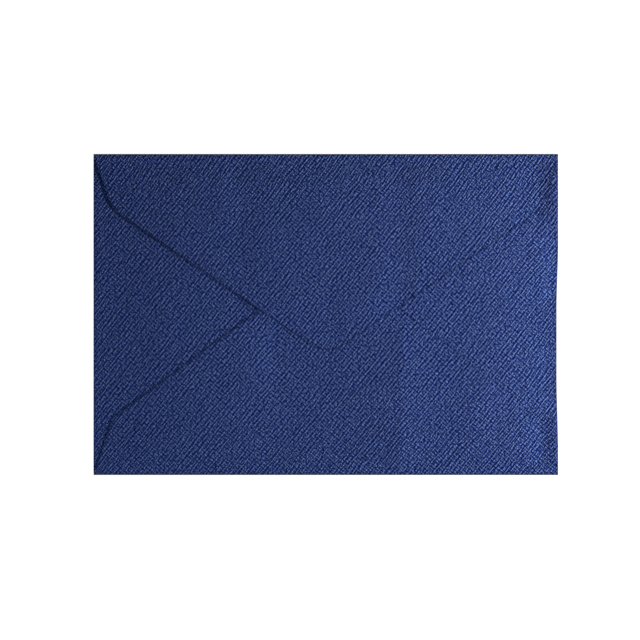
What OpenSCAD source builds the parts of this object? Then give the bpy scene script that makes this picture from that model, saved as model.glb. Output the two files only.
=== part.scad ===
// Paper envelope with a pointed top flap, closed but not stuck down.
// It is one cut sheet: a front panel, two side flaps, a bottom flap glued on the
// side flaps, and a top flap folded over them. It lies on its front panel.
// Millimetres. X runs along the long side, Y toward the fold of the top flap, Z up.
// The origin is the middle of the front panel's underside.

/* [Envelope] */
// Width of the closed envelope
env_w = 165; // [130:1:230]
// Height of the closed envelope
env_h = 114; // [95:1:160]
// Thickness of the sheet
sheet_t = 0.25; // [0.15:0.05:0.4]

/* [Folded layers] */
// Free height of the pocket between the front panel and the side flaps
pocket_gap = 0.8; // [0.4:0.1:1.6]
// Clearance between the bottom flap and the top flap that lies over it
flap_clearance = 0.15; // [0.05:0.05:0.5]
// Length of side fold cut away at each corner, to pass the folds of the long edges
corner_relief = 0.6; // [0.3:0.1:1.5]

/* [Top flap] */
// Distance from the top edge to the rounded tip
top_reach = 69.1; // [55:0.1:80]
// Radius of the tip
top_tip_r = 10.5; // [4:0.5:14]
// Distance from the side edge to the corner between the shoulder and the slanted edge
top_shoulder_in = 5.7; // [3:0.1:9]
// Distance from the top edge to that corner
top_shoulder_down = 19.1; // [14:0.1:24]
// Radius of that corner
top_shoulder_r = 14; // [4:0.5:16]

/* [Bottom flap] */
// Distance from the bottom edge to the rounded tip
bottom_reach = 73.9; // [55:0.1:80]
// Radius of the tip
bottom_tip_r = 10; // [4:0.5:14]
// Distance from the side edge to the corner between the shoulder and the slanted edge
bottom_shoulder_in = 6.7; // [3:0.1:9]
// Distance from the bottom edge to that corner
bottom_shoulder_up = 19.9; // [14:0.1:24]
// Radius of that corner
bottom_shoulder_r = 6; // [4:0.5:16]

/* [Side flaps] */
// Distance from the side edge to the flap's inner end
side_depth = 60.7; // [45:0.1:62]
// Narrowing at each long edge, from the fold to the inner end
side_taper = 7; // [3:0.5:12]
// Radius of the corners of the inner end
side_end_r = 8; // [3:0.5:12]

/* [Hidden] */

// Chords in each rounded corner of a flap
arc_steps = 16;
// Facets in a full turn of a fold
$fn = 48;

// Undersides of the layers above the front panel
side_z = sheet_t + pocket_gap;
bottom_z = side_z + sheet_t;
top_z = bottom_z + sheet_t + flap_clearance;

// Outer radii of the folds, each half of the height that its fold spans
side_fold_r = (side_z + sheet_t) / 2;
bottom_fold_r = (bottom_z + sheet_t) / 2;
top_fold_r = (top_z + sheet_t) / 2;

// Lines where the flat layers end and the folds begin
side_line = env_w / 2 - side_fold_r;
bottom_line = -env_h / 2 + bottom_fold_r;
top_line = env_h / 2 - top_fold_r;

// Flat sheet at both ends of a fold that is drawn with it, within the layers it joins
fold_leg = sheet_t / 2;

// Ends of the side folds
side_low = bottom_line + corner_relief;
side_high = top_line - corner_relief;

function unit(v) = v / norm(v);

function heading(v) = atan2(v.y, v.x);

// Signed turn from heading a to heading b, from -180 to 180
function turn(a, b) = (b - a + 540) % 360 - 180;

// Arc of radius r that rounds the corner at b, between its neighbours a and c
function rounded(a, b, c, r) =
    let (
        to_a = unit(a - b),
        to_c = unit(c - b),
        half_angle = acos(to_a * to_c) / 2,
        centre = b + unit(to_a + to_c) * r / sin(half_angle),
        reach = r / tan(half_angle),
        first = heading(b + to_a * reach - centre),
        swing = turn(first, heading(b + to_c * reach - centre))
    )
    [for (i = [0:arc_steps])
        let (at = first + swing * i / arc_steps)
        centre + r * [cos(at), sin(at)]];

// Points round an outline that is given as [corner, radius] pairs
function rounded_outline(outline) =
    let (n = len(outline))
    [for (i = [0:n - 1])
        let (
            before = outline[(i + n - 1) % n][0],
            here = outline[i][0],
            after = outline[(i + 1) % n][0],
            r = outline[i][1]
        )
        each r > 0 ? rounded(before, here, after, r) : [here]];

// Height above the fold's edge at which a pointed flap's slanted edges would meet,
// with each edge running from its corner tangent to the circle of the tip
function apex(corner, reach, tip_r) =
    let (
        to_circle = [corner.x, reach - tip_r - corner.y],
        slope = heading(to_circle) + asin(tip_r / norm(to_circle))
    )
    corner.y + corner.x * tan(slope);

// Outline of a pointed flap from its fold line. way is 1 where it points to +Y, or -1
function pointed_flap(line, way, corner, corner_r, reach, tip_r) =
    let (edge = -way * env_h / 2)
    [
        [[-side_line, line], 0],
        [[side_line, line], 0],
        [[corner.x, edge + way * corner.y], corner_r],
        [[0, edge + way * apex(corner, reach, tip_r)], tip_r],
        [[-corner.x, edge + way * corner.y], corner_r]
    ];

// Flat layer of the sheet with its underside at height z
module layer(outline, z) {
    translate([0, 0, z])
        linear_extrude(sheet_t)
            polygon(rounded_outline(outline));
}

// Section of a fold: half a ring that bulges to +X from the line x = 0, and two flat legs
module fold_section(outer_r) {
    difference() {
        circle(outer_r);
        circle(outer_r - sheet_t);
        translate([-2 * outer_r, -outer_r])
            square(2 * outer_r);
    }
    for (y = [-outer_r, outer_r - sheet_t])
        translate([-fold_leg, y])
            square([fold_leg, sheet_t]);
}

// Sheet bent through half a turn over a length along Y, from the line x = 0
module fold(outer_r, length) {
    translate([0, length / 2, outer_r])
        rotate([90, 0, 0])
            linear_extrude(length)
                fold_section(outer_r);
}

module front_panel() {
    translate([-side_line, bottom_line, 0])
        cube([2 * side_line, top_line - bottom_line, sheet_t]);
}

// Flap on the right-hand side, with its fold
module side_flap() {
    end = env_w / 2 - side_depth;
    outline = [
        [[side_line, side_low], 0],
        [[side_line, side_high], 0],
        [[end, side_high - side_taper], side_end_r],
        [[end, side_low + side_taper], side_end_r]
    ];
    layer(outline, side_z);
    translate([side_line, (side_low + side_high) / 2, 0])
        fold(side_fold_r, side_high - side_low);
}

module bottom_flap() {
    corner = [env_w / 2 - bottom_shoulder_in, bottom_shoulder_up];
    outline = pointed_flap(bottom_line, 1, corner, bottom_shoulder_r, bottom_reach, bottom_tip_r);
    layer(outline, bottom_z);
    translate([0, bottom_line, 0])
        rotate([0, 0, -90])
            fold(bottom_fold_r, 2 * side_line);
}

module top_flap() {
    corner = [env_w / 2 - top_shoulder_in, top_shoulder_down];
    outline = pointed_flap(top_line, -1, corner, top_shoulder_r, top_reach, top_tip_r);
    layer(outline, top_z);
    translate([0, top_line, 0])
        rotate([0, 0, 90])
            fold(top_fold_r, 2 * side_line);
}

// The whole folded sheet
module envelope() {
    color("#2c3c68")
        union() {
            front_panel();
            side_flap();
            mirror([1, 0, 0])
                side_flap();
            bottom_flap();
            top_flap();
        }
}

envelope();
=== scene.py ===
"""Dark blue embossed paper envelope, closed by a pointed flap and seen from its flap side.

One sheet is laid out flat as the cut blank, creased along its four folds and folded up,
so that the grain runs on unbroken from the front panel round each fold into its flap.
Lengths of the sheet are in millimetres and become metres where a mesh is made.
"""

import logging
import math
from dataclasses import dataclass, field
from enum import Enum
from typing import Any

import bpy
import numpy as np
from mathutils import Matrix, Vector
from mathutils.geometry import delaunay_2d_cdt

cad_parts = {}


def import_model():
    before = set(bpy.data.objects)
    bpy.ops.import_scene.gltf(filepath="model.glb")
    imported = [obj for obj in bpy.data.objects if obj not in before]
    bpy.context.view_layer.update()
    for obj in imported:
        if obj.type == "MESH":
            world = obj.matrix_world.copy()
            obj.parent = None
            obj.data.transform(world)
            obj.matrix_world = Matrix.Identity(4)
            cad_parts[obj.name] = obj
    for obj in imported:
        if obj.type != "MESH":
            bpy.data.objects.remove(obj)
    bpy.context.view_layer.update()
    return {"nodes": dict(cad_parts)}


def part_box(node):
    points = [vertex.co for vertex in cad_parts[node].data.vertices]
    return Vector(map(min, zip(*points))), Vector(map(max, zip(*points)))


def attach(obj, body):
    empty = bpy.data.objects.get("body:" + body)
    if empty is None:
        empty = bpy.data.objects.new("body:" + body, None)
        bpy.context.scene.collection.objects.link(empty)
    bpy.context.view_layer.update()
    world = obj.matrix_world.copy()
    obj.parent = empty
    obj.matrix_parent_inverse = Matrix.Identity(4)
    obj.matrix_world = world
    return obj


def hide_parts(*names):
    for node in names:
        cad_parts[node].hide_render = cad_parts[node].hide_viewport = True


LOG = logging.getLogger("envelope")
MM = 0.001
# Height of the point that the camera and the lamps face, over the table, in millimetres
AIM_HEIGHT = 1.0
GRAIN_MAP = "sheet"
# Name of the mesh attribute that holds the strength of the painted shade along the cut edges and in the
# folds
PAINTED_EDGE_SHADE = "painted_edge_shade"
# Differences that count as none, in millimetres or as a share of a length
SAME = 1e-6
SAME_POINT = 1e-5
ROUNDING = 1e-9

Array = np.ndarray
Color = tuple[float, float, float, float]


def smooth(value: Array, low: float, high: float) -> Array:
    """Eased step of value between two limits.

    Args:
        value: Numbers to ease.
        low: Where the step begins and the result is 0.
        high: Where the step ends and the result is 1. It may be below low.

    Returns:
        Numbers from 0 to 1, of value's shape.
    """
    share = np.clip((value - low) / (high - low), 0.0, 1.0)
    return share * share * (3.0 - 2.0 * share)


def hill(value: Array, centre: float, half: float) -> Array:
    """Eased hump of height 1 at centre that is 0 past half a width from it.

    Args:
        value: Numbers along the axis that the hump crosses.
        centre: Where the hump is highest.
        half: Distance from there to its foot on both sides.

    Returns:
        Numbers from 0 to 1, of value's shape.
    """
    return smooth(np.abs(value - centre), half, 0.0)


class Slope(Enum):
    """Where a slope between two levels is steepest."""

    MIDDLE = "middle"
    START = "start"
    END = "end"


@dataclass(frozen=True)
class Ripple:
    """Change of level across the upper layers, within a stretch of their height.

    Attributes:
        start: Where the slope begins, across the envelope.
        stop: Where it ends.
        rise: Height gained, below 0 for a fall.
        low: Lower end of the stretch, up the envelope.
        high: Upper end of the stretch.
        fade: Length over which the ripple fades at both ends.
        lean: Shift across with each millimetre up.
        steepest: Where the slope is steepest.
    """

    start: float
    stop: float
    rise: float
    low: float
    high: float
    fade: float = 6.0
    lean: float = 0.0
    steepest: Slope = Slope.MIDDLE

    def height(self, x: Array, y: Array) -> Array:
        """Height that the ripple adds.

        Args:
            x: Places across, in millimetres from the envelope's middle.
            y: Places up.

        Returns:
            Height at each place, in millimetres.
        """
        share = np.clip((x - self.lean * y - self.start) / (self.stop - self.start), 0.0, 1.0)
        if self.steepest is Slope.END:
            eased = share * share
        elif self.steepest is Slope.START:
            eased = share * (2.0 - share)
        else:
            eased = smooth(share, 0.0, 1.0)
        window = smooth(y - self.low, 0.0, self.fade) * smooth(self.high - y, 0.0, self.fade)
        return self.rise * window * eased


@dataclass(frozen=True)
class PointedFlap:
    """Outline of a flap with two shoulders, two slanted edges and a rounded tip.

    Attributes:
        reach: From the fold's edge to the tip.
        tip_r: Radius of the tip.
        shoulder_in: From the side edge to the corner below the shoulder.
        shoulder_out: From the fold's edge to that corner.
        shoulder_r: Radius of that corner.
    """

    reach: float
    tip_r: float
    shoulder_in: float
    shoulder_out: float
    shoulder_r: float

    def corners(self, half_width: float) -> list[tuple[float, float, float]]:
        """Corners from the right-hand shoulder to the left-hand one.

        Args:
            half_width: Half the envelope's width.

        Returns:
            For each corner, its place across, its distance from the fold's edge and its radius.
        """
        across = half_width - self.shoulder_in
        rise = self.reach - self.tip_r - self.shoulder_out
        slope = math.atan2(rise, across) + math.asin(self.tip_r / math.hypot(across, rise))
        apex = self.shoulder_out + across * math.tan(slope)
        return [
            (across, self.shoulder_out, self.shoulder_r),
            (0.0, apex, self.tip_r),
            (-across, self.shoulder_out, self.shoulder_r),
        ]


@dataclass(frozen=True)
class SideFlap:
    """Outline of a side flap, narrowing to a rounded end.

    Attributes:
        depth: From the side edge to the inner end.
        taper: Narrowing at each long edge, from the fold to the end.
        end_r: Radius of the end's corners.
    """

    depth: float
    taper: float
    end_r: float


@dataclass(frozen=True)
class Crease:
    """Radii of the outside of the four folds, creased tighter than a free bend.

    Attributes:
        side: At both side folds.
        bottom: At the fold of the bottom flap.
        top: At the fold of the top flap.
        relief: Length of side fold that is missing at each corner.
    """

    side: float = 0.32
    bottom: float = 0.44
    top: float = 0.55
    relief: float = 0.3


def rounded_path(corners: list[tuple[float, float, float]], steps: int) -> list[tuple[float, float]]:
    """Closed outline with its corners rounded by arcs.

    Args:
        corners: Place and radius of each corner, in order. A radius of 0 keeps the corner.
        steps: Chords in each arc.

    Returns:
        Points round the outline.
    """
    path: list[tuple[float, float]] = []
    count = len(corners)
    for i, (x, y, r) in enumerate(corners):
        here = Vector((x, y))
        if r <= 0.0:
            path.append((x, y))
            continue
        to_last = (Vector(corners[i - 1][:2]) - here).normalized()
        to_next = (Vector(corners[(i + 1) % count][:2]) - here).normalized()
        half = to_last.angle(to_next) / 2.0
        centre = here + (to_last + to_next).normalized() * (r / math.sin(half))
        first = here + to_last * (r / math.tan(half)) - centre
        swing = first.angle_signed(here + to_next * (r / math.tan(half)) - centre)
        for k in range(steps + 1):
            turn = -swing * k / steps
            path.append(
                (
                    centre.x + first.x * math.cos(turn) - first.y * math.sin(turn),
                    centre.y + first.x * math.sin(turn) + first.y * math.cos(turn),
                )
            )
    return path


@dataclass(frozen=True)
class Lift:
    """Height by which the free edge of a flap stands off the layer below it.

    Attributes:
        rest: Height all along the edge.
        spring: Further height that comes in toward one side.
        start: Where that further height begins, across the envelope.
        stop: Where it is full.
    """

    rest: float
    spring: float
    start: float
    stop: float

    def height(self, x: Array) -> Array:
        """Height at places across the envelope."""
        return self.rest + self.spring * smooth(x, self.start, self.stop)


@dataclass(frozen=True)
class Bumps:
    """Slight unevenness of the upper layers, made of two swells of unlike pitch.

    Attributes:
        height: Height of the first swell, in millimetres.
        across: Radians of the first swell in each millimetre across.
        up: Radians of the first swell in each millimetre up.
        start: Radians of the first swell at the middle of the envelope's height.
        sway: Radians by which its crests sway across.
        sway_up: Radians of that sway in each millimetre up.
        second: Height of the second swell, as a share of the first one's.
        second_across: Radians of the second swell in each millimetre across.
        second_up: Radians of the second swell in each millimetre up.
        second_start: Radians of the second swell at the envelope's middle.
    """

    height: float = 0.02
    across: float = 0.21
    up: float = 0.24
    start: float = 0.7
    sway: float = 1.3
    sway_up: float = 0.09
    second: float = 0.7
    second_across: float = 0.37
    second_up: float = -0.16
    second_start: float = 2.1

    def rise(self, x: Array, y: Array) -> Array:
        """Height that the bumps add.

        Args:
            x: Places across, in millimetres from the envelope's middle.
            y: Places up.

        Returns:
            Height at each place, in millimetres.
        """
        swayed = x * self.across + self.sway * np.sin(y * self.sway_up)
        first = np.sin(swayed) * np.sin(y * self.up + self.start)
        second = np.sin(x * self.second_across + y * self.second_up + self.second_start)
        return self.height * (first + self.second * second)


@dataclass(frozen=True)
class Support:
    """Area over which the inner end of the bottom flap carries the top flap.

    Attributes:
        high: Where it ends, up the envelope.
        high_full: Below which it is full.
        wide: Where it ends on both sides of the middle.
        wide_full: Within which it is full.
    """

    high: float = 22.0
    high_full: float = 8.0
    wide: float = 44.0
    wide_full: float = 30.0

    def share(self, x: Array, y: Array) -> Array:
        """How far the top flap is carried at each place, from 0 to 1."""
        return smooth(y, self.high, self.high_full) * smooth(np.abs(x), self.wide, self.wide_full)


@dataclass(frozen=True)
class Bow:
    """Slight inward bend of the envelope's right-hand side.

    Attributes:
        depth: Distance by which the side lies inward.
        start: Where the bend begins, across the envelope.
        low: Where it begins, up the envelope.
        low_full: Where it is full.
        high_full: Where it begins to fade.
        high: Where it has faded.
    """

    depth: float = 0.55
    start: float = 60.0
    low: float = -49.0
    low_full: float = -22.0
    high_full: float = 2.0
    high: float = 25.0

    def inward(self, x: Array, y: Array, edge: float) -> Array:
        """Shift toward the middle.

        Args:
            x: Places across, in millimetres from the envelope's middle.
            y: Places up.
            edge: Place of the right-hand side, where the shift is largest.

        Returns:
            Distance by which each place lies inward, in millimetres.
        """
        along = smooth(y, self.low, self.low_full) * smooth(y, self.high, self.high_full)
        return self.depth * smooth(x, self.start, edge) * along


@dataclass(frozen=True)
class Waves:
    """Heights of the folded layers above the table, with the waves that handling leaves.

    Plan coordinates are those of the closed envelope, in millimetres from its middle.

    Attributes:
        half_w: Half the envelope's width.
        half_h: Half the envelope's height.
        sheet: Thickness of the sheet.
        crease: Radii of the folds.
        pillow: Rise of the upper layers in the middle.
        shoulder: Distance from the side edges over which they rise.
        slack: Distance from the long edges over which they rise.
        bumps: Slight bumps that all upper layers share.
        least: Lowest that the ripples may bring the upper layers.
        ripples: Waves across the upper layers.
        support: Where the top flap lies on the bottom flap.
        top_lift: How the top flap stands off the bottom flap and the side flaps.
        bottom_lift: How the bottom flap stands off the side flaps.
        air: Gap between layers elsewhere.
        settle: Distance from a fold over which its flap comes to rest on the layer below.
    """

    half_w: float
    half_h: float
    sheet: float
    crease: Crease
    pillow: float = 1.7
    shoulder: float = 34.0
    slack: float = 12.0
    bumps: Bumps = Bumps()
    least: float = -0.12
    ripples: tuple[Ripple, ...] = (
        # The top flap's left half sags toward its side fold
        Ripple(start=-73.5, stop=-60.0, rise=-0.38, low=28.0, high=57.0),
        Ripple(start=-58.0, stop=-41.0, rise=0.34, low=28.0, high=57.0),
        # Over the inner end of the left side flap, deeper toward the fold of the top flap
        Ripple(start=-38.8, stop=-31.6, rise=-0.26, low=2.0, high=57.0, lean=0.02),
        Ripple(start=-38.4, stop=-31.8, rise=-0.34, low=26.0, high=57.0),
        Ripple(start=-30.0, stop=-22.4, rise=0.44, low=2.0, high=57.0),
        Ripple(start=-17.0, stop=1.0, rise=0.30, low=26.0, high=57.0),
        Ripple(start=6.0, stop=18.0, rise=0.28, low=2.0, high=34.0),
        # Over the inner end of the right side flap
        Ripple(start=18.0, stop=25.6, rise=-0.42, low=-2.0, high=57.0),
        Ripple(start=26.6, stop=32.6, rise=0.36, low=2.0, high=57.0),
        Ripple(start=37.0, stop=51.0, rise=-0.44, low=24.0, high=57.0),
        Ripple(start=52.0, stop=80.0, rise=0.40, low=24.0, high=57.0),
        # The tip of the top flap is pressed over the layers below it
        Ripple(start=-15.0, stop=-3.0, rise=-0.32, low=-12.0, high=8.0, fade=5.0),
        Ripple(start=0.0, stop=8.0, rise=0.28, low=-12.0, high=20.0, fade=5.0),
        Ripple(start=12.0, stop=25.0, rise=-0.34, low=-8.0, high=14.0, fade=5.0),
        Ripple(start=27.6, stop=31.6, rise=0.18, low=3.0, high=15.0, fade=4.0),
        # The bottom flap sinks off the end of the left side flap and climbs onto the right one
        Ripple(start=-36.0, stop=-18.4, rise=-1.95, low=-33.0, high=2.0, fade=8.0, steepest=Slope.END),
        Ripple(start=-42.0, stop=-16.0, rise=-0.85, low=-56.0, high=-25.0, fade=8.0),
        Ripple(start=-17.6, stop=26.0, rise=1.55, low=-56.0, high=0.0, steepest=Slope.END),
        Ripple(start=26.2, stop=40.0, rise=-0.80, low=-62.0, high=-4.0, steepest=Slope.START),
        Ripple(start=39.0, stop=58.0, rise=0.55, low=-56.0, high=-6.0),
        # Bruise by the right-hand shoulder of the bottom flap
        Ripple(start=58.0, stop=70.0, rise=0.40, low=-56.0, high=-32.0),
        Ripple(start=70.6, stop=76.2, rise=-0.85, low=-55.0, high=-35.0, fade=4.0),
        Ripple(start=76.4, stop=81.4, rise=0.70, low=-57.0, high=-33.0, fade=4.0),
        # The right side flap dips beside the top flap's shoulder and bulges below it
        Ripple(start=60.0, stop=74.0, rise=-0.25, low=26.0, high=58.0, fade=8.0),
        Ripple(start=74.2, stop=82.3, rise=1.5, low=30.0, high=58.0, fade=7.0),
        Ripple(start=44.0, stop=72.0, rise=0.8, low=-37.0, high=33.0, fade=12.0),
        Ripple(start=75.0, stop=82.3, rise=-1.15, low=-37.0, high=33.0, fade=12.0),
    )
    support: Support = Support()
    top_lift: Lift = Lift(rest=0.02, spring=0.26, start=-34.0, stop=-60.0)
    bottom_lift: Lift = Lift(rest=0.0, spring=0.03, start=-10.0, stop=-40.0)
    air: float = 0.01
    settle: float = 9.0

    def shared(self, x: Array, y: Array) -> Array:
        """Rise of all upper layers, toward the middle of the pocket and over their ripples.

        Args:
            x: Places across.
            y: Places up.

        Returns:
            Height over the tops of the side folds at each place.
        """
        across = smooth(self.half_w - np.abs(x), 0.0, self.shoulder)
        along = smooth(self.half_h - np.abs(y), 0.0, self.slack)
        total = self.pillow * across * along + self.bumps.rise(x, y)
        for ripple in self.ripples:
            total += ripple.height(x, y)
        return np.maximum(total, self.least)

    def side(self, x: Array, y: Array) -> Array:
        """Outer face of the side flaps."""
        return 2.0 * self.crease.side + self.shared(x, y)

    def bottom(self, x: Array, y: Array) -> Array:
        """Outer face of the bottom flap, from its fold to where it lies on the side flaps.

        Args:
            x: Places across.
            y: Places up.

        Returns:
            Height over the table at each place.
        """
        at_fold = 2.0 * self.crease.bottom
        lying = self.side(x, y) + self.sheet + self.bottom_lift.height(x)
        settled = smooth(y + self.half_h, 0.0, self.settle)
        return np.maximum(at_fold + (lying - at_fold) * settled, self.side(x, y) + self.sheet + self.air)

    def top(self, x: Array, y: Array) -> Array:
        """Outer face of the top flap, which lies on the side flaps and the bottom flap.

        Args:
            x: Places across.
            y: Places up.

        Returns:
            Height over the table at each place.
        """
        at_fold = 2.0 * self.crease.top
        under = self.side(x, y) + self.support.share(x, y) * (self.bottom(x, y) - self.side(x, y))
        lying = under + self.sheet + self.top_lift.height(x)
        settled = smooth(self.half_h - y, 0.0, self.settle)
        return np.maximum(at_fold + (lying - at_fold) * settled, under + self.sheet + self.air)


@dataclass
class FoldedSheet:
    """The one sheet of the envelope: its cut blank, its folds and its mesh.

    Attributes:
        width: Width of the closed envelope.
        height: Height of the closed envelope.
        sheet: Thickness of the sheet.
        top: Outline of the top flap.
        bottom: Outline of the bottom flap.
        side: Outline of each side flap.
        crease: Radii of the folds.
        grid: Largest spacing of the mesh.
        fine: Stretches across that get half of it, under the narrowest waves.
        closest: Least distance between points of the mesh.
        fold_chords: Chords round each fold.
        arc_chords: Chords round each corner of a flap.
        bow: Inward bend of the right-hand side.
        skew: Distance by which the top flap came down to the right of the middle.
        skew_run: Distance from the top flap's fold over which that comes in.
        turn: Shift of the bottom flap to the right with each millimetre from its fold.
        corner_fill: Width by which the long folds reach past the side fold lines.
        corner_slope: Distance past a long fold line at which its fold has that width.
        rim_rows: Distances from the free edges at which a row of points follows them.
        painted_edge_shade: Width of the strip of painted shade along the cut edges.
        bottom_painted_shade: How strong that painted shade is along the bottom flap's right half.
        painted_shade_change: Distance on both sides of the middle over which that sets in.
        half_w: Half the width. This and all that follows is worked out.
        half_h: Half the height.
        side_line: Distance of the side fold lines from the middle.
        bottom_line: Place of the bottom flap's fold line, up the blank.
        top_line: Place of the top flap's fold line, up the blank.
        side_bend: Length of sheet in each side fold.
        bottom_bend: Length of sheet in the bottom flap's fold.
        top_bend: Length of sheet in the top flap's fold.
        waves: Heights of the folded layers.
    """

    width: float
    height: float
    sheet: float = 0.25
    top: PointedFlap = PointedFlap(
        reach=69.6, tip_r=10.5, shoulder_in=5.7, shoulder_out=19.4, shoulder_r=14.0
    )
    bottom: PointedFlap = PointedFlap(
        reach=75.2, tip_r=10.0, shoulder_in=6.35, shoulder_out=20.6, shoulder_r=6.0
    )
    side: SideFlap = SideFlap(depth=60.7, taper=7.0, end_r=8.0)
    crease: Crease = Crease()
    grid: float = 1.25
    fine: tuple[tuple[float, float], ...] = ((-20.0, -17.0), (24.0, 27.0), (28.5, 33.0))
    closest: float = 0.12
    fold_chords: int = 8
    arc_chords: int = 20
    bow: Bow = Bow()
    skew: float = 0.58
    skew_run: float = 12.0
    turn: float = 0.028
    corner_fill: float = 0.28
    corner_slope: float = 0.05
    rim_rows: tuple[float, ...] = (0.45, 1.0)
    painted_edge_shade: float = 0.9
    bottom_painted_shade: float = 0.3
    painted_shade_change: float = 10.0
    half_w: float = field(init=False)
    half_h: float = field(init=False)
    side_line: float = field(init=False)
    bottom_line: float = field(init=False)
    top_line: float = field(init=False)
    side_bend: float = field(init=False)
    bottom_bend: float = field(init=False)
    top_bend: float = field(init=False)
    waves: Waves = field(init=False)

    def __post_init__(self) -> None:
        """Works out the fold lines of the blank and the lengths of its bends."""
        self.half_w = self.width / 2.0
        self.half_h = self.height / 2.0
        self.side_line = self.half_w - self.crease.side
        self.bottom_line = self.crease.bottom - self.half_h
        self.top_line = self.half_h - self.crease.top
        self.side_bend = math.pi * self.crease.side
        self.bottom_bend = math.pi * self.crease.bottom
        self.top_bend = math.pi * self.crease.top
        self.waves = Waves(
            half_w=self.half_w, half_h=self.half_h, sheet=self.sheet, crease=self.crease
        )

    def blank_outline(self) -> list[tuple[float, float]]:
        """Outline of the flat blank, anticlockwise from the front panel's lower right corner.

        Returns:
            Points in the plane of the blank, with the arcs cut into chords.
        """
        low = self.bottom_line + self.crease.relief
        high = self.top_line - self.crease.relief
        end = self.side_line + self.side_bend + self.side_line - (self.half_w - self.side.depth)
        right = [
            (self.side_line, self.bottom_line, 0.0),
            (self.side_line, low, 0.0),
            (self.side_line + self.side_bend, low, 0.0),
            (end, low + self.side.taper, self.side.end_r),
            (end, high - self.side.taper, self.side.end_r),
            (self.side_line + self.side_bend, high, 0.0),
            (self.side_line, high, 0.0),
            (self.side_line, self.top_line, 0.0),
            (self.side_line + self.corner_fill, self.top_line + self.corner_slope, 0.0),
            (self.side_line + self.corner_fill, self.top_line + self.top_bend, 0.0),
        ]
        left = [(-x, y, r) for x, y, r in reversed(right)]
        over = [
            (x, self.top_line + self.top_bend + out - self.crease.top, r)
            for x, out, r in self.top.corners(self.half_w)
        ]
        foot = [
            (self.side_line + self.corner_fill, self.bottom_line - self.bottom_bend, 0.0),
            (self.side_line + self.corner_fill, self.bottom_line - self.corner_slope, 0.0),
        ]
        under = [
            (x, self.bottom_line - self.bottom_bend - out + self.crease.bottom, r)
            for x, out, r in reversed(self.bottom.corners(self.half_w))
        ]
        corners = right + over + left + [(-x, y, r) for x, y, r in reversed(foot)] + under + foot
        return rounded_path(corners, self.arc_chords)

    def lines(
        self,
        marks: list[float],
        bends: list[tuple[float, float]],
        fine: tuple[tuple[float, float], ...] = (),
    ) -> Array:
        """Places of the grid's lines along one axis of the blank.

        Args:
            marks: Places that get a line each, the first and last being the ends.
            bends: Start and length of each bend, which is cut into even chords.
            fine: Stretches that get half the spacing, for narrow waves.

        Returns:
            Sorted places.
        """
        stops = set(marks)
        for start, length in bends:
            stops.update(start + length * k / self.fold_chords for k in range(self.fold_chords + 1))
        for low, high in fine:
            stops.update((low, high))
        ordered = sorted(stops)
        places = [ordered[0]]
        for low, high in zip(ordered, ordered[1:]):
            middle = (low + high) / 2.0
            narrow = any(a <= middle <= b for a, b in fine)
            pitch = self.grid / 2.0 if narrow else self.grid
            count = max(1, math.ceil((high - low) / pitch - SAME))
            places.extend(low + (high - low) * k / count for k in range(1, count + 1))
        return np.array(places)

    def blank_mesh(self) -> tuple[Array, Array, Array]:
        """Triangles of the flat blank.

        Returns:
            Points of the blank, the three points of each triangle, anticlockwise, and the
            points of the outline in order.
        """
        corners = np.array(self.blank_outline())
        reach_x = float(corners[:, 0].max())
        folds_x = [self.side_line, self.side_line + self.side_bend]
        marks_x = [-reach_x, *(-x for x in folds_x), *folds_x, reach_x]
        bends_x = [(self.side_line, self.side_bend), (-self.side_line - self.side_bend, self.side_bend)]
        columns = self.lines(marks_x, bends_x, self.fine)
        marks_y = [float(corners[:, 1].min()), self.bottom_line, self.top_line, float(corners[:, 1].max())]
        bends_y = [(self.bottom_line - self.bottom_bend, self.bottom_bend), (self.top_line, self.top_bend)]
        rows = self.lines(marks_y, bends_y)
        rim = self.rim_points(corners, columns, rows)
        grid = self.inner_points(rim, columns, rows)
        points = [Vector(p) for p in np.vstack([rim, grid])]
        ring = [(i, (i + 1) % len(rim)) for i in range(len(rim))]
        inside_only = 1
        verts, _, faces, *_ = delaunay_2d_cdt(points, ring, [], inside_only, SAME_POINT)
        flat = np.array([(v.x, v.y) for v in verts])
        tris = np.array([tuple(f) for f in faces])
        a, b, c = (flat[tris[:, k]] for k in range(3))
        area = (b[:, 0] - a[:, 0]) * (c[:, 1] - a[:, 1]) - (b[:, 1] - a[:, 1]) * (c[:, 0] - a[:, 0])
        tris[area < 0.0] = tris[area < 0.0][:, ::-1]
        return flat, tris, rim

    def rim_points(self, corners: Array, columns: Array, rows: Array) -> Array:
        """Outline with a point wherever it crosses a line of the grid.

        Args:
            corners: Corners of the outline in order.
            columns: Places of the grid's lines across.
            rows: Places of the grid's lines up.

        Returns:
            Points of the outline in order.
        """
        rim: list[Array] = []
        for start, stop in zip(corners, np.roll(corners, -1, axis=0)):
            span = stop - start
            length = float(np.hypot(*span))
            shares = [0.0]
            for axis, places in ((0, columns), (1, rows)):
                if abs(span[axis]) > SAME:
                    shares.extend((places - start[axis]) / span[axis])
            for share in sorted(s for s in shares if -ROUNDING <= s < 1.0 - self.closest / length):
                point = start + share * span
                if not rim or share == 0.0 or np.hypot(*(point - rim[-1])) > self.closest:
                    rim.append(point)
        ring = np.array(rim)
        steps = np.hypot(*(ring - np.roll(ring, 1, axis=0)).T)
        return ring[steps > SAME]

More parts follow.
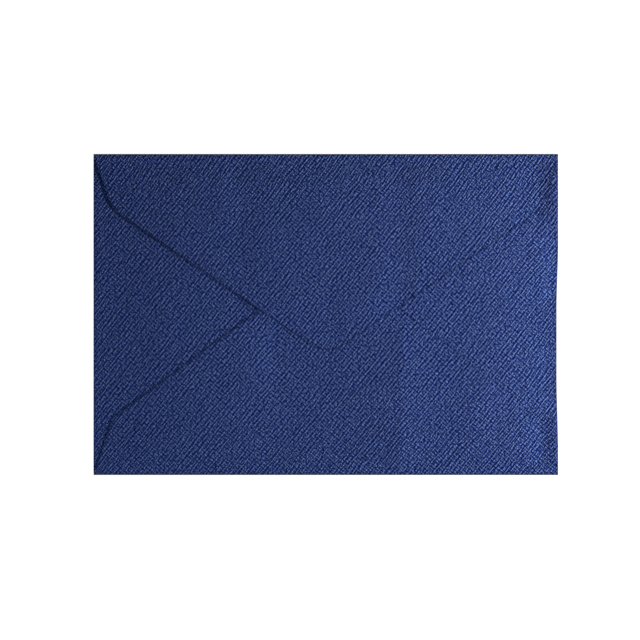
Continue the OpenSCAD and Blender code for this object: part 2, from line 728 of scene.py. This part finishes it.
    @staticmethod
    def against_rim(points: Array, rim: Array) -> tuple[Array, Array]:
        """Where points lie against the outline.

        Args:
            points: Points of the blank.
            rim: Points of the outline in order.

        Returns:
            Whether each point is inside, and its distance from the outline.
        """
        x, y = points[:, 0], points[:, 1]
        inside = np.zeros(len(x), bool)
        gap = np.full(len(x), np.inf)
        for (x0, y0), (x1, y1) in zip(rim, np.roll(rim, -1, axis=0)):
            if y1 != y0:
                crosses = (y0 > y) != (y1 > y)
                inside ^= crosses & (x < x0 + (y - y0) * (x1 - x0) / (y1 - y0))
            length_sq = (x1 - x0) ** 2 + (y1 - y0) ** 2
            share = np.clip(((x - x0) * (x1 - x0) + (y - y0) * (y1 - y0)) / length_sq, 0.0, 1.0)
            gap = np.minimum(gap, np.hypot(x - x0 - share * (x1 - x0), y - y0 - share * (y1 - y0)))
        return inside, gap

    def on_flap(self, points: Array) -> Array:
        """Whether points lie on the top or the bottom flap, clear of its fold.

        Args:
            points: Points of the blank.

        Returns:
            One truth value a point.
        """
        clear = 1.5
        above = self.top_line + self.top_bend + clear
        below = self.bottom_line - self.bottom_bend - clear
        return (points[:, 1] > above) | (points[:, 1] < below)

    def inner_points(self, rim: Array, columns: Array, rows: Array) -> Array:
        """Points inside the outline: rows along the free edges, and the grid's crossings.

        Args:
            rim: Points of the outline in order.
            columns: Places of the grid's lines across.
            rows: Places of the grid's lines up.

        Returns:
            The points.
        """
        spare = 0.35
        least_share = 0.97
        grid = np.column_stack([a.ravel() for a in np.meshgrid(columns, rows)])
        inside, gap = self.against_rim(grid, rim)
        clear = np.where(self.on_flap(grid), self.rim_rows[-1] + spare, self.closest)
        kept = [grid[inside & (gap > clear)]]
        along = np.roll(rim, -1, axis=0) - np.roll(rim, 1, axis=0)
        inward = np.column_stack([-along[:, 1], along[:, 0]]) / np.hypot(along[:, 0], along[:, 1])[:, None]
        for distance in self.rim_rows:
            row = rim + inward * distance
            inside, gap = self.against_rim(row, rim)
            kept.append(row[inside & (gap > least_share * distance) & self.on_flap(row)])
        return np.vstack(kept)

    def painted_edge_shade_share(self, flat: Array, rim: Array) -> Array:
        """How strong the painted shade is at each point: along the cut rim, and in the folds.

        Args:
            flat: Points of the blank.
            rim: Points of the outline in order.

        Returns:
            Numbers from 0 to 1.
        """
        x, y = flat[:, 0], flat[:, 1]
        _, gap = self.against_rim(flat, rim)
        # Painted shade along the cut edges, weaker on the right-hand side of the lower half
        softer = (1.0 - self.bottom_painted_shade) * smooth(x, -self.painted_shade_change, self.painted_shade_change)
        painted_shade_weight = np.where(y > 0.0, 1.0, 1.0 - softer)
        share = smooth(gap, self.painted_edge_shade, 0.0) * self.on_flap(flat) * painted_shade_weight
        # Painted shade along the four folds
        beyond = 0.35
        for place, line, bend in (
            (y, self.top_line, self.top_bend),
            (-y, -self.bottom_line, self.bottom_bend),
            (np.abs(x), self.side_line, self.side_bend),
        ):
            share = np.maximum(share, hill(place, line + bend / 2.0, bend / 2.0 + beyond))
        return share

    def fold(self, past: Array, radius: float) -> tuple[Array, Array]:
        """Section of a fold and of the flat flap beyond it.

        Args:
            past: Distance of each point beyond the fold line, on the blank.
            radius: Radius of the outside of the fold.

        Returns:
            How far out of the fold line each point lies, and its height in the bend.
        """
        bend = math.pi * radius
        angle = np.clip(past, 0.0, bend) / radius
        out = radius * np.sin(angle) - np.maximum(past - bend, 0.0)
        return out, radius * (1.0 - np.cos(angle))

    def folded(self, flat: Array) -> Array:
        """Places of the sheet's outer face once it is folded up.

        Args:
            flat: Points of the blank.

        Returns:
            The same points in space, in millimetres, with the front panel on the table.
        """
        x, y = flat[:, 0].copy(), flat[:, 1].copy()
        z = np.zeros(len(flat))
        top = y > self.top_line
        bottom = y < self.bottom_line
        side = (np.abs(x) > self.side_line + SAME) & ~top & ~bottom
        out, z[top] = self.fold(y[top] - self.top_line, self.crease.top)
        y[top] = self.top_line + out
        out, z[bottom] = self.fold(self.bottom_line - y[bottom], self.crease.bottom)
        y[bottom] = self.bottom_line - out
        out, z[side] = self.fold(np.abs(x[side]) - self.side_line, self.crease.side)
        x[side] = np.sign(x[side]) * (self.side_line + out)
        upright = 0.5
        for part, layer in ((top, self.waves.top), (bottom, self.waves.bottom), (side, self.waves.side)):
            closed = z[part] / z[part].max()
            flat_height = layer(x[part], y[part])
            z[part] += (flat_height - z[part].max()) * smooth(closed, upright, 1.0)
        x[top] += self.skew * smooth(self.top_line - y[top], 0.0, self.skew_run)
        x[bottom] += self.turn * np.maximum(y[bottom] - self.bottom_line, 0.0)
        x -= self.bow.inward(x, y, self.half_w)
        return np.column_stack([x, y, z])

    def build(self, name: str) -> bpy.types.Object:
        """Makes the folded sheet with its thickness.

        Args:
            name: Name of the object.

        Returns:
            The object, in metres, with the grain's map.
        """
        flat, tris, outline = self.blank_mesh()
        outer = self.folded(flat)
        # The blank is drawn as seen from inside, so its outer face looks down
        tris = tris[:, ::-1]
        normal = self.point_normals(outer, tris)
        inner = outer - normal * self.sheet
        count = len(outer)
        edges = np.vstack([tris[:, [0, 1]], tris[:, [1, 2]], tris[:, [2, 0]]])
        keys = {tuple(e) for e in edges.tolist()}
        rim = [(a, b) for a, b in keys if (b, a) not in keys]
        walls = [(b, a, a + count, b + count) for a, b in rim]
        faces = tris.tolist() + (tris[:, ::-1] + count).tolist() + walls
        mesh = bpy.data.meshes.new(name)
        mesh.from_pydata((np.vstack([outer, inner]) * MM).tolist(), [], faces)
        mesh.shade_smooth()
        self.sharpen_rim(mesh, rim, count)
        self.map_grain(mesh, np.vstack([flat, flat]))
        # Strength of the painted shade along the cut edges and in the folds, which the material reads
        painted_edge_shade = mesh.attributes.new(PAINTED_EDGE_SHADE, "FLOAT", "POINT")
        painted_edge_shade.data.foreach_set("value", np.tile(self.painted_edge_shade_share(flat, outline), 2).astype(np.float32))
        mesh.validate()
        piece = bpy.data.objects.new(name, mesh)
        bpy.context.scene.collection.objects.link(piece)
        return piece

    @staticmethod
    def point_normals(points: Array, tris: Array) -> Array:
        """Normal of each point, weighted by the area of its triangles.

        Args:
            points: Places in space.
            tris: Points of each triangle.

        Returns:
            One unit vector a point.
        """
        a, b, c = (points[tris[:, k]] for k in range(3))
        across = np.cross(b - a, c - a)
        total = np.zeros_like(points)
        for k in range(3):
            np.add.at(total, tris[:, k], across)
        return total / np.linalg.norm(total, axis=1, keepdims=True)

    @staticmethod
    def sharpen_rim(mesh: bpy.types.Mesh, rim: list[tuple[int, int]], count: int) -> None:
        """Marks both edges of the cut rim as sharp.

        Args:
            mesh: The sheet's mesh.
            rim: Pairs of points along the outer face's rim.
            count: Points of the outer face.
        """
        sharp = {frozenset(pair) for pair in rim}
        sharp |= {frozenset((a + count, b + count)) for a, b in rim}
        for edge in mesh.edges:
            edge.use_edge_sharp = frozenset(edge.vertices) in sharp

    @staticmethod
    def map_grain(mesh: bpy.types.Mesh, flat: Array) -> None:
        """Gives each corner its place on the blank, seen from outside, in millimetres.

        Args:
            mesh: The sheet's mesh.
            flat: Place on the blank of each point of the mesh.
        """
        layer = mesh.uv_layers.new(name=GRAIN_MAP)
        corners = np.zeros(len(mesh.loops), np.int64)
        mesh.loops.foreach_get("vertex_index", corners)
        from_outside = np.array([-1.0, 1.0])
        places = flat[corners] * from_outside
        layer.data.foreach_set("uv", places.astype(np.float32).ravel())


class Wire:
    """An output socket on which Python's operators add nodes.

    Values go through Math nodes, vectors through Vector Math and colours through Mix.

    Attributes:
        graph: Graph that new nodes go into.
        socket: Output that the wire stands for.
    """

    def __init__(self, graph: "Graph", socket: bpy.types.NodeSocket) -> None:
        """Wraps a socket of the graph.

        Args:
            graph: Graph that new nodes go into.
            socket: Output that the wire stands for.
        """
        self.graph = graph
        self.socket = socket

    def _joined(self, operation: str, left: "Wire | float", right: "Wire | float") -> "Wire":
        """Adds the node for one operator.

        Args:
            operation: Name of the operation, the same in all three kinds of node.
            left: First operand.
            right: Second operand.

        Returns:
            The result.
        """
        kinds = {side.socket.type for side in (left, right) if isinstance(side, Wire)}
        if "RGBA" in kinds:
            return self.graph.blend(operation, 1.0, left, right)
        if "VECTOR" in kinds:
            return self.graph.wire(
                "ShaderNodeVectorMath", "Vector", {"operation": operation}, {0: left, 1: right}
            )
        return self.graph.wire("ShaderNodeMath", "Value", {"operation": operation}, {0: left, 1: right})

    def __add__(self, other: "Wire | float") -> "Wire":
        """Sum."""
        return self._joined("ADD", self, other)

    def __radd__(self, other: float) -> "Wire":
        """Sum with a number on the left."""
        return self._joined("ADD", other, self)

    def __sub__(self, other: "Wire | float") -> "Wire":
        """Difference."""
        return self._joined("SUBTRACT", self, other)

    def __rsub__(self, other: float) -> "Wire":
        """Difference from a number."""
        return self._joined("SUBTRACT", other, self)

    def __mul__(self, other: "Wire | float") -> "Wire":
        """Product."""
        return self._joined("MULTIPLY", self, other)

    def __rmul__(self, other: float) -> "Wire":
        """Product with a number on the left."""
        return self._joined("MULTIPLY", other, self)


class Graph:
    """A shader's node tree, emptied and filled from code.

    Attributes:
        COLOR_A: Place of a Mix node's input for the first colour.
        COLOR_B: Place of its input for the second colour.
        COLOR_RESULT: Place of its output for the mixed colour.
        tree: Node tree of a material or of the world.
    """

    COLOR_A = 6
    COLOR_B = 7
    COLOR_RESULT = 2

    def __init__(self, tree: bpy.types.NodeTree) -> None:
        """Empties the tree.

        Args:
            tree: Node tree of a material or of the world.
        """
        self.tree = tree
        self.tree.nodes.clear()

    def node(
        self,
        kind: str,
        settings: dict[str, Any] | None = None,
        inputs: dict[str | int, Any] | None = None,
    ) -> bpy.types.Node:
        """Adds a node.

        Args:
            kind: Type of the node.
            settings: Its settings, set first.
            inputs: A value, a wire or a socket for each input that isn't left alone.

        Returns:
            The node.
        """
        made = self.tree.nodes.new(kind)
        for name, value in (settings or {}).items():
            setattr(made, name, value)
        for key, value in (inputs or {}).items():
            if isinstance(value, Wire):
                self.tree.links.new(value.socket, made.inputs[key])
            elif isinstance(value, bpy.types.NodeSocket):
                self.tree.links.new(value, made.inputs[key])
            elif made.inputs[key].type == "VECTOR" and isinstance(value, (int, float)):
                made.inputs[key].default_value = (value, value, value)
            else:
                made.inputs[key].default_value = value
        return made

    def wire(
        self,
        kind: str,
        output: str | int,
        settings: dict[str, Any] | None = None,
        inputs: dict[str | int, Any] | None = None,
    ) -> Wire:
        """Adds a node and takes one of its outputs.

        Args:
            kind: Type of the node.
            output: Name or place of the output.
            settings: Its settings, set first.
            inputs: Its inputs.

        Returns:
            The output as a wire.
        """
        return Wire(self, self.node(kind, settings, inputs).outputs[output])

    def blend(self, operation: str, factor: Any, left: Any, right: Any) -> Wire:
        """Mixes two colours.

        Args:
            operation: Blend type, such as MIX or MULTIPLY.
            factor: How much of the right-hand colour comes in.
            left: First colour.
            right: Second colour.

        Returns:
            The mixed colour.
        """
        return self.wire(
            "ShaderNodeMix",
            self.COLOR_RESULT,
            {"data_type": "RGBA", "blend_type": operation},
            {0: factor, self.COLOR_A: left, self.COLOR_B: right},
        )

    def eased(self, value: Wire, low: float, high: float) -> Wire:
        """Eased step of a value between two limits, from 0 to 1.

        Args:
            value: The value.
            low: Where the step begins.
            high: Where it ends.

        Returns:
            The step.
        """
        return self.wire(
            "ShaderNodeMapRange",
            "Result",
            {"interpolation_type": "SMOOTHSTEP"},
            {"Value": value, "From Min": low, "From Max": high},
        )

    def math(self, operation: str, value: Wire) -> Wire:
        """Result of a math operation on one value."""
        return self.wire("ShaderNodeMath", "Value", {"operation": operation}, {0: value})

    def chances(self, first: Wire, second: Wire) -> tuple[Wire, Wire, Wire]:
        """Three numbers from 0 to 1 by chance, the same wherever both whole numbers are.

        Args:
            first: First whole number.
            second: Second whole number.

        Returns:
            The three numbers.
        """
        pair = self.wire("ShaderNodeCombineXYZ", "Vector", {}, {"X": first, "Y": second})
        dice = self.wire("ShaderNodeTexWhiteNoise", "Color", {"noise_dimensions": "2D"}, {"Vector": pair})
        parts = self.node("ShaderNodeSeparateColor", {}, {"Color": dice})
        return tuple(Wire(self, parts.outputs[name]) for name in ("Red", "Green", "Blue"))

    def peak(self, count: Wire) -> Wire:
        """Even wave with straight slopes: 0 at whole numbers and 1 halfway between them."""
        return 1.0 - self.math("ABSOLUTE", self.math("FRACT", count) * 2.0 - 1.0)

    def axes(self, place: Wire) -> tuple[Wire, Wire]:
        """First two coordinates of a vector."""
        parts = self.node("ShaderNodeSeparateXYZ", {}, {"Vector": place})
        return Wire(self, parts.outputs["X"]), Wire(self, parts.outputs["Y"])

    def turned(self, place: Wire, degrees: float) -> tuple[Wire, Wire]:
        """Coordinates along two axes that are turned against the given ones.

        Args:
            place: Coordinates.
            degrees: Angle of the first axis, anticlockwise.

        Returns:
            Coordinates along the first axis and along the one at a right angle to it.
        """
        x, y = self.axes(place)
        c, s = math.cos(math.radians(degrees)), math.sin(math.radians(degrees))
        return x * c + y * s, y * c - x * s

    def streaks(self, across: Wire, along: Wire, width: float, length: float) -> Wire:
        """Noise from 0 to 1 that changes quickly across and slowly along.

        Args:
            across: First coordinate.
            along: Second coordinate.
            width: Distance across over which it changes.
            length: Distance along over which it changes.

        Returns:
            The noise.
        """
        parts = {"X": across * (1.0 / width), "Y": along * (1.0 / length)}
        return self.noise(self.wire("ShaderNodeCombineXYZ", "Vector", {}, parts), 1.0)

    def noise(self, place: Wire, pitch: float, detail: float = 1.0) -> Wire:
        """Soft noise from 0 to 1.

        Args:
            place: Coordinates, in millimetres.
            pitch: Distance over which it changes.
            detail: Finer octaves on top.

        Returns:
            The noise.
        """
        return self.wire(
            "ShaderNodeTexNoise",
            "Fac",
            {"noise_dimensions": "2D"},
            {"Vector": place, "Scale": 1.0 / pitch, "Detail": detail},
        )


@dataclass(frozen=True)
class Dashes:
    """Rows of thin straight crests, broken into dashes that are staggered from row to row.

    Attributes:
        lean: Direction across the rows, in degrees from the long side.
        pitch: Distance between rows, in millimetres.
        crest: Width of a crest at its foot, as a share of the pitch.
        length: Distance between breaks along a row, in millimetres.
        gap: Share of that length over which a dash rises and sinks at its ends.
        wander: Rows by which all of them stray together over a long run.
        run: Length of that run, in millimetres.
        uneven: Rows by which a dash may lie off the middle of its row.
        tilt: Rows by which a dash may cross its row from end to end.
        ragged: Share of the length by which breaks are out of step.
        likeness: Rows over which those breaks stay alike.
        stagger: Share of the length by which the breaks of the next row are shifted.
        depth: Height of the highest crests, as a share of the grain's.
        shallow: Height of the lowest ones, as a share of depth.
    """

    lean: float
    pitch: float
    crest: float
    length: float
    gap: float
    wander: float
    uneven: float
    tilt: float
    ragged: float
    depth: float
    shallow: float
    run: float = 10.0
    likeness: float = 0.7
    stagger: float = 0.5

    def height(self, graph: Graph, place: Wire) -> Wire:
        """Height of the crests.

        Args:
            graph: Graph of the material.
            place: Coordinates on the sheet, in millimetres.

        Returns:
            Height from 0 between the crests to depth.
        """
        across, along = graph.turned(place, self.lean)
        bend = graph.noise(place, self.run) - 0.5
        count = across * (1.0 / self.pitch) + bend * (2.0 * self.wander)
        row = graph.math("FLOOR", count)
        late = graph.streaks(row + 0.5, along, self.likeness, self.length) - 0.5
        beat = along * (1.0 / self.length) + row * self.stagger + late * (2.0 * self.ragged)
        aside, slant, rise = graph.chances(row, graph.math("FLOOR", beat))
        turned = (graph.math("FRACT", beat) - 0.5) * (slant - 0.5) * (2.0 * self.tilt)
        crest = graph.peak(count + (aside - 0.5) * (2.0 * self.uneven) + turned)
        ridge = graph.eased(crest, 1.0 - self.crest, 1.0) * graph.eased(graph.peak(beat), 0.0, self.gap)
        return ridge * (rise * (1.0 - self.shallow) + self.shallow) * self.depth


@dataclass(frozen=True)
class EmbossedPaper:
    """Finish of dark blue paper with a rolled-in grain like coarse cloth.

    Attributes:
        valley: Colour of the valleys, darker than the paper's navy as painted shade.
        ridge: Colour of the ridges: a painted highlight, lighter and whiter than the paper's navy.
        relief: Height of the grain, in millimetres.
        layers: Rows of dashes that make up the grain.
        hair_width: Distance between the finest marks, in millimetres.
        hair_length: Their length.
        hair_depth: Their share of the grain's height.
        speck_width: Distance between small marks that only change the colour.
        speck_length: Their length.
        speck_depth: How far they change it, as a share of the grain's height.
        dark_below: Height of the grain, with the specks, below which it has the valleys' colour.
        light_above: Height above which it has the ridges' colour.
        roughness: Roughness of the valleys.
        burnish: How much less rough the ridges are.
        shine: Strength of the mirrored light.
        painted_edge_shade: Colour of the painted shade along the cut edges and in the folds.
        painted_edge_shade_share: How far that painted shade darkens the colour there.
    """

    valley: Color = (0.001, 0.012, 0.118, 1.0)
    ridge: Color = (0.143, 0.218, 0.482, 1.0)
    relief: float = 0.78
    layers: tuple[Dashes, ...] = (
        Dashes(
            lean=-39.5,
            pitch=1.39,
            crest=0.52,
            length=2.9,
            gap=0.30,
            wander=0.30,
            uneven=0.14,
            tilt=0.12,
            ragged=0.12,
            depth=0.61,
            shallow=0.92,
        ),
        Dashes(
            lean=-36.5,
            pitch=0.89,
            crest=0.80,
            length=3.0,
            gap=0.25,
            wander=0.45,
            uneven=0.25,
            tilt=0.3,
            ragged=0.12,
            depth=0.56,
            shallow=0.75,
        ),
        Dashes(
            lean=50.0,
            pitch=1.02,
            crest=0.75,
            length=2.6,
            gap=0.3,
            wander=0.4,
            uneven=0.20,
            tilt=0.15,
            ragged=0.12,
            depth=0.46,
            shallow=0.85,
        ),
    )
    hair_width: float = 0.38
    hair_length: float = 0.8
    hair_depth: float = 0.6
    speck_width: float = 0.26
    speck_length: float = 0.50
    speck_depth: float = 2.0
    dark_below: float = 0.16
    light_above: float = 1.32
    roughness: float = 0.52
    burnish: float = 0.08
    shine: float = 0.08
    painted_edge_shade: Color = (0.004, 0.012, 0.060, 1.0)
    painted_edge_shade_share: float = 0.75

    def material(self, name: str) -> bpy.types.Material:
        """Makes the material.

        Args:
            name: Name of the material.

        Returns:
            The material.
        """
        made = bpy.data.materials.new(name)
        made.use_nodes = True
        graph = Graph(made.node_tree)
        place = graph.wire("ShaderNodeUVMap", "UV", {"uv_map": GRAIN_MAP})
        height = self.grain(graph, place)
        across, along = graph.turned(place, self.layers[0].lean)
        specks = graph.streaks(across, along, self.speck_width, self.speck_length) - 0.5
        # How far the grain's colour goes from the valleys' painted shade to the ridges' painted highlight,
        # by its height and the specks
        lit = graph.eased(height + self.speck_depth * specks, self.dark_below, self.light_above)
        # Strength of the painted shade along the cut edges and in the folds
        flat = graph.wire("ShaderNodeAttribute", "Fac", {"attribute_name": PAINTED_EDGE_SHADE})
        # Painted light: painted shade in the grain's valleys and a painted highlight on its crests
        color = graph.blend("MIX", lit, self.valley, self.ridge)
        # Painted shade darkens the colour along the cut edges and in the folds
        color = graph.blend("MIX", flat * self.painted_edge_shade_share, color, self.painted_edge_shade)
        bump = graph.node(
            "ShaderNodeBump", {}, {"Strength": 1.0, "Distance": self.relief * MM, "Height": height}
        )
        shader = graph.node(
            "ShaderNodeBsdfPrincipled",
            {},
            {
                "Base Color": color,
                "Roughness": self.roughness - self.burnish * lit,
                "Specular IOR Level": self.shine,
                "Normal": bump.outputs["Normal"],
            },
        )
        graph.node("ShaderNodeOutputMaterial", {}, {"Surface": shader.outputs["BSDF"]})
        return made

    def grain(self, graph: Graph, place: Wire) -> Wire:
        """Height of the embossed grain.

        Args:
            graph: Graph of the material.
            place: Coordinates on the sheet, in millimetres.

        Returns:
            Height from about 0 to 1.
        """
        across, along = graph.turned(place, self.layers[0].lean)
        height = self.hair_depth * (graph.streaks(across, along, self.hair_width, self.hair_length) - 0.5)
        for layer in self.layers:
            height = layer.height(graph, place) + height
        return height


class StageColor(Enum):
    """Colours of the stage: what the camera sees, and what the lamps light."""

    WHITE = (1.0, 1.0, 1.0, 1.0)
    MATTE = (0.8, 0.8, 0.8, 1.0)


@dataclass
class Stage:
    """Pale floor, soft lights and the camera that looks straight down.

    Attributes:
        span: Width of the picture at the envelope, in metres.
        offset: Camera's place over the table from the envelope's middle, in metres.
        lens: Focal length, in millimetres.
        sensor: Sensor width, in millimetres.
        floor_size: Width of the floor, in metres.
        floor_drop: Distance of the floor below the envelope, in millimetres.
        shadow_share: How much of the floor's look is its lit surface, which shows the shadow.
        floor_glow: Strength of the floor's own white to the camera.
        fill: Strength of the light from all round.
        fill_color: Its colour.
        key_power: Power of the key lamp, in watts.
        key_size: Width of the key lamp, in metres.
        key_azimuth: Direction toward the key lamp, in degrees from the right, anticlockwise.
        key_elevation: Its height over the table, in degrees.
        key_distance: Its distance from the envelope's middle, in metres.
        key_feather: Degrees by which it is turned down from facing the envelope.
        soft_power: Power of the soft lamp, in watts.
        soft_size: Width of the soft lamp, in metres.
        soft_color: Its colour.
        soft_place: Its place from the envelope's middle, in metres.
    """

    span: float = 0.22716
    offset: tuple[float, float] = (-0.00206, -0.00195)
    lens: float = 200.0
    sensor: float = 36.0
    floor_size: float = 6.0
    floor_drop: float = 0.05
    shadow_share: float = 0.15
    floor_glow: float = 1.16
    fill: float = 0.10
    fill_color: Color = (0.72, 0.88, 1.0, 1.0)
    key_power: float = 11.6
    key_size: float = 0.09
    key_azimuth: float = -5.0
    key_elevation: float = 25.0
    key_distance: float = 0.52
    key_feather: float = 67.0
    soft_power: float = 0.12
    soft_size: float = 0.16
    soft_color: tuple[float, float, float] = (0.70, 0.86, 1.0)
    soft_place: tuple[float, float, float] = (-0.17, -0.10, 0.15)

    def build(self, target: Vector) -> None:
        """Sets up everything round the envelope.

        Args:
            target: Middle of the envelope's upper side.
        """
        self.add_camera(target)
        self.add_floor()
        self.add_world()
        self.add_key(target)
        self.add_soft(target)
        bpy.context.scene.view_settings.view_transform = "Standard"

    def add_camera(self, target: Vector) -> None:
        """Puts the camera over the envelope.

        Args:
            target: Middle of the envelope's upper side.
        """
        data = bpy.data.cameras.new("camera")
        data.lens = self.lens
        data.sensor_width = self.sensor
        camera = bpy.data.objects.new("camera", data)
        distance = self.span * self.lens / self.sensor
        camera.location = target + Vector((*self.offset, distance))
        bpy.context.scene.collection.objects.link(camera)
        bpy.context.scene.camera = camera

    def add_floor(self) -> None:
        """Makes the floor, which is white to the camera apart from the envelope's shadow."""
        half = self.floor_size / 2.0
        level = -self.floor_drop * MM
        corners = [(-half, -half, level), (half, -half, level), (half, half, level), (-half, half, level)]
        mesh = bpy.data.meshes.new("floor")
        mesh.from_pydata(corners, [], [(0, 1, 2, 3)])
        floor = bpy.data.objects.new("floor", mesh)
        bpy.context.scene.collection.objects.link(floor)
        mesh.materials.append(self.floor_material())

    def floor_material(self) -> bpy.types.Material:
        """Makes the floor's material.

        Returns:
            A matte white that gives back its own white to the camera.
        """
        made = bpy.data.materials.new("floor")
        made.use_nodes = True
        graph = Graph(made.node_tree)
        matte = graph.node("ShaderNodeBsdfDiffuse", {}, {"Color": StageColor.MATTE.value})
        glow = graph.node(
            "ShaderNodeEmission", {}, {"Color": StageColor.WHITE.value, "Strength": self.floor_glow}
        )
        mix = graph.node(
            "ShaderNodeMixShader",
            {},
            {
                0: self.shows_white(graph) * (1.0 - self.shadow_share),
                1: matte.outputs["BSDF"],
                2: glow.outputs["Emission"],
            },
        )
        graph.node("ShaderNodeOutputMaterial", {}, {"Surface": mix.outputs["Shader"]})
        return made

    @staticmethod
    def shows_white(graph: Graph) -> Wire:
        """1 for the rays that see the background as white: the camera's, glossy and transmitted ones.

        Args:
            graph: Graph of the floor's material or of the world.

        Returns:
            0 or 1.
        """
        rays = graph.node("ShaderNodeLightPath")
        camera, glossy, through = (
            Wire(graph, rays.outputs[name])
            for name in ("Is Camera Ray", "Is Glossy Ray", "Is Transmission Ray")
        )
        return camera + glossy + through

    def add_world(self) -> None:
        """Makes the soft fill from all round, white to the camera."""
        world = bpy.data.worlds.new("world")
        world.use_nodes = True
        bpy.context.scene.world = world
        graph = Graph(world.node_tree)
        fill = graph.node("ShaderNodeBackground", {}, {"Color": self.fill_color, "Strength": self.fill})
        white = graph.node("ShaderNodeBackground", {}, {"Color": StageColor.WHITE.value, "Strength": 1.0})
        mix = graph.node(
            "ShaderNodeMixShader",
            {},
            {
                0: self.shows_white(graph),
                1: fill.outputs["Background"],
                2: white.outputs["Background"],
            },
        )
        graph.node("ShaderNodeOutputWorld", {}, {"Surface": mix.outputs["Shader"]})

    def add_key(self, target: Vector) -> None:
        """Puts the key light low on the right, so that it rakes the grain.

        Args:
            target: Middle of the envelope's upper side.
        """
        azimuth = math.radians(self.key_azimuth)
        elevation = math.radians(self.key_elevation)
        away = Vector(
            (
                math.cos(elevation) * math.cos(azimuth),
                math.cos(elevation) * math.sin(azimuth),
                math.sin(elevation),
            )
        )
        facing = Vector((math.cos(azimuth), math.sin(azimuth), 0.0))
        turn = math.radians(self.key_elevation + self.key_feather)
        back = facing * math.cos(turn) + Vector((0.0, 0.0, math.sin(turn)))
        key = self.add_lamp("key", target + away * self.key_distance, back)
        key.size = self.key_size
        key.energy = self.key_power

    def add_soft(self, target: Vector) -> None:
        """Puts a weak soft light over the lower left corner, which lifts the shade there.

        Args:
            target: Middle of the envelope's upper side.
        """
        back = Vector(self.soft_place)
        soft = self.add_lamp("soft", target + back, back)
        soft.size = self.soft_size
        soft.energy = self.soft_power
        soft.color = self.soft_color

    @staticmethod
    def add_lamp(name: str, place: Vector, back: Vector) -> bpy.types.AreaLight:
        """Adds a round lamp.

        Args:
            name: Name of the lamp.
            place: Where it stands.
            back: Direction from its face to its back.

        Returns:
            The lamp's data, on which its size and power are set.
        """
        data = bpy.data.lights.new(name, "AREA")
        data.shape = "DISK"
        lamp = bpy.data.objects.new(name, data)
        lamp.location = place
        lamp.rotation_euler = back.to_track_quat("Z", "Y").to_euler()
        bpy.context.scene.collection.objects.link(lamp)
        return data


def main() -> None:
    """Builds the envelope on its stage."""
    logging.basicConfig(level=logging.INFO, format="%(name)s: %(message)s")
    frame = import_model()
    low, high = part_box("envelope")
    size = (high - low) / MM
    sheet = FoldedSheet(width=size.x, height=size.y)
    piece = sheet.build("folded_sheet")
    piece.data.materials.append(EmbossedPaper().material("embossed_paper"))
    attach(piece, "root")
    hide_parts("envelope")
    LOG.info("folded sheet: %d triangles or quads", len(piece.data.polygons))
    Stage().build(Vector((0.0, 0.0, AIM_HEIGHT * MM)))
    LOG.info("stage set for %d node(s)", len(frame["nodes"]))
    bpy.context.view_layer.update()


if __name__ == "__main__":
    main()
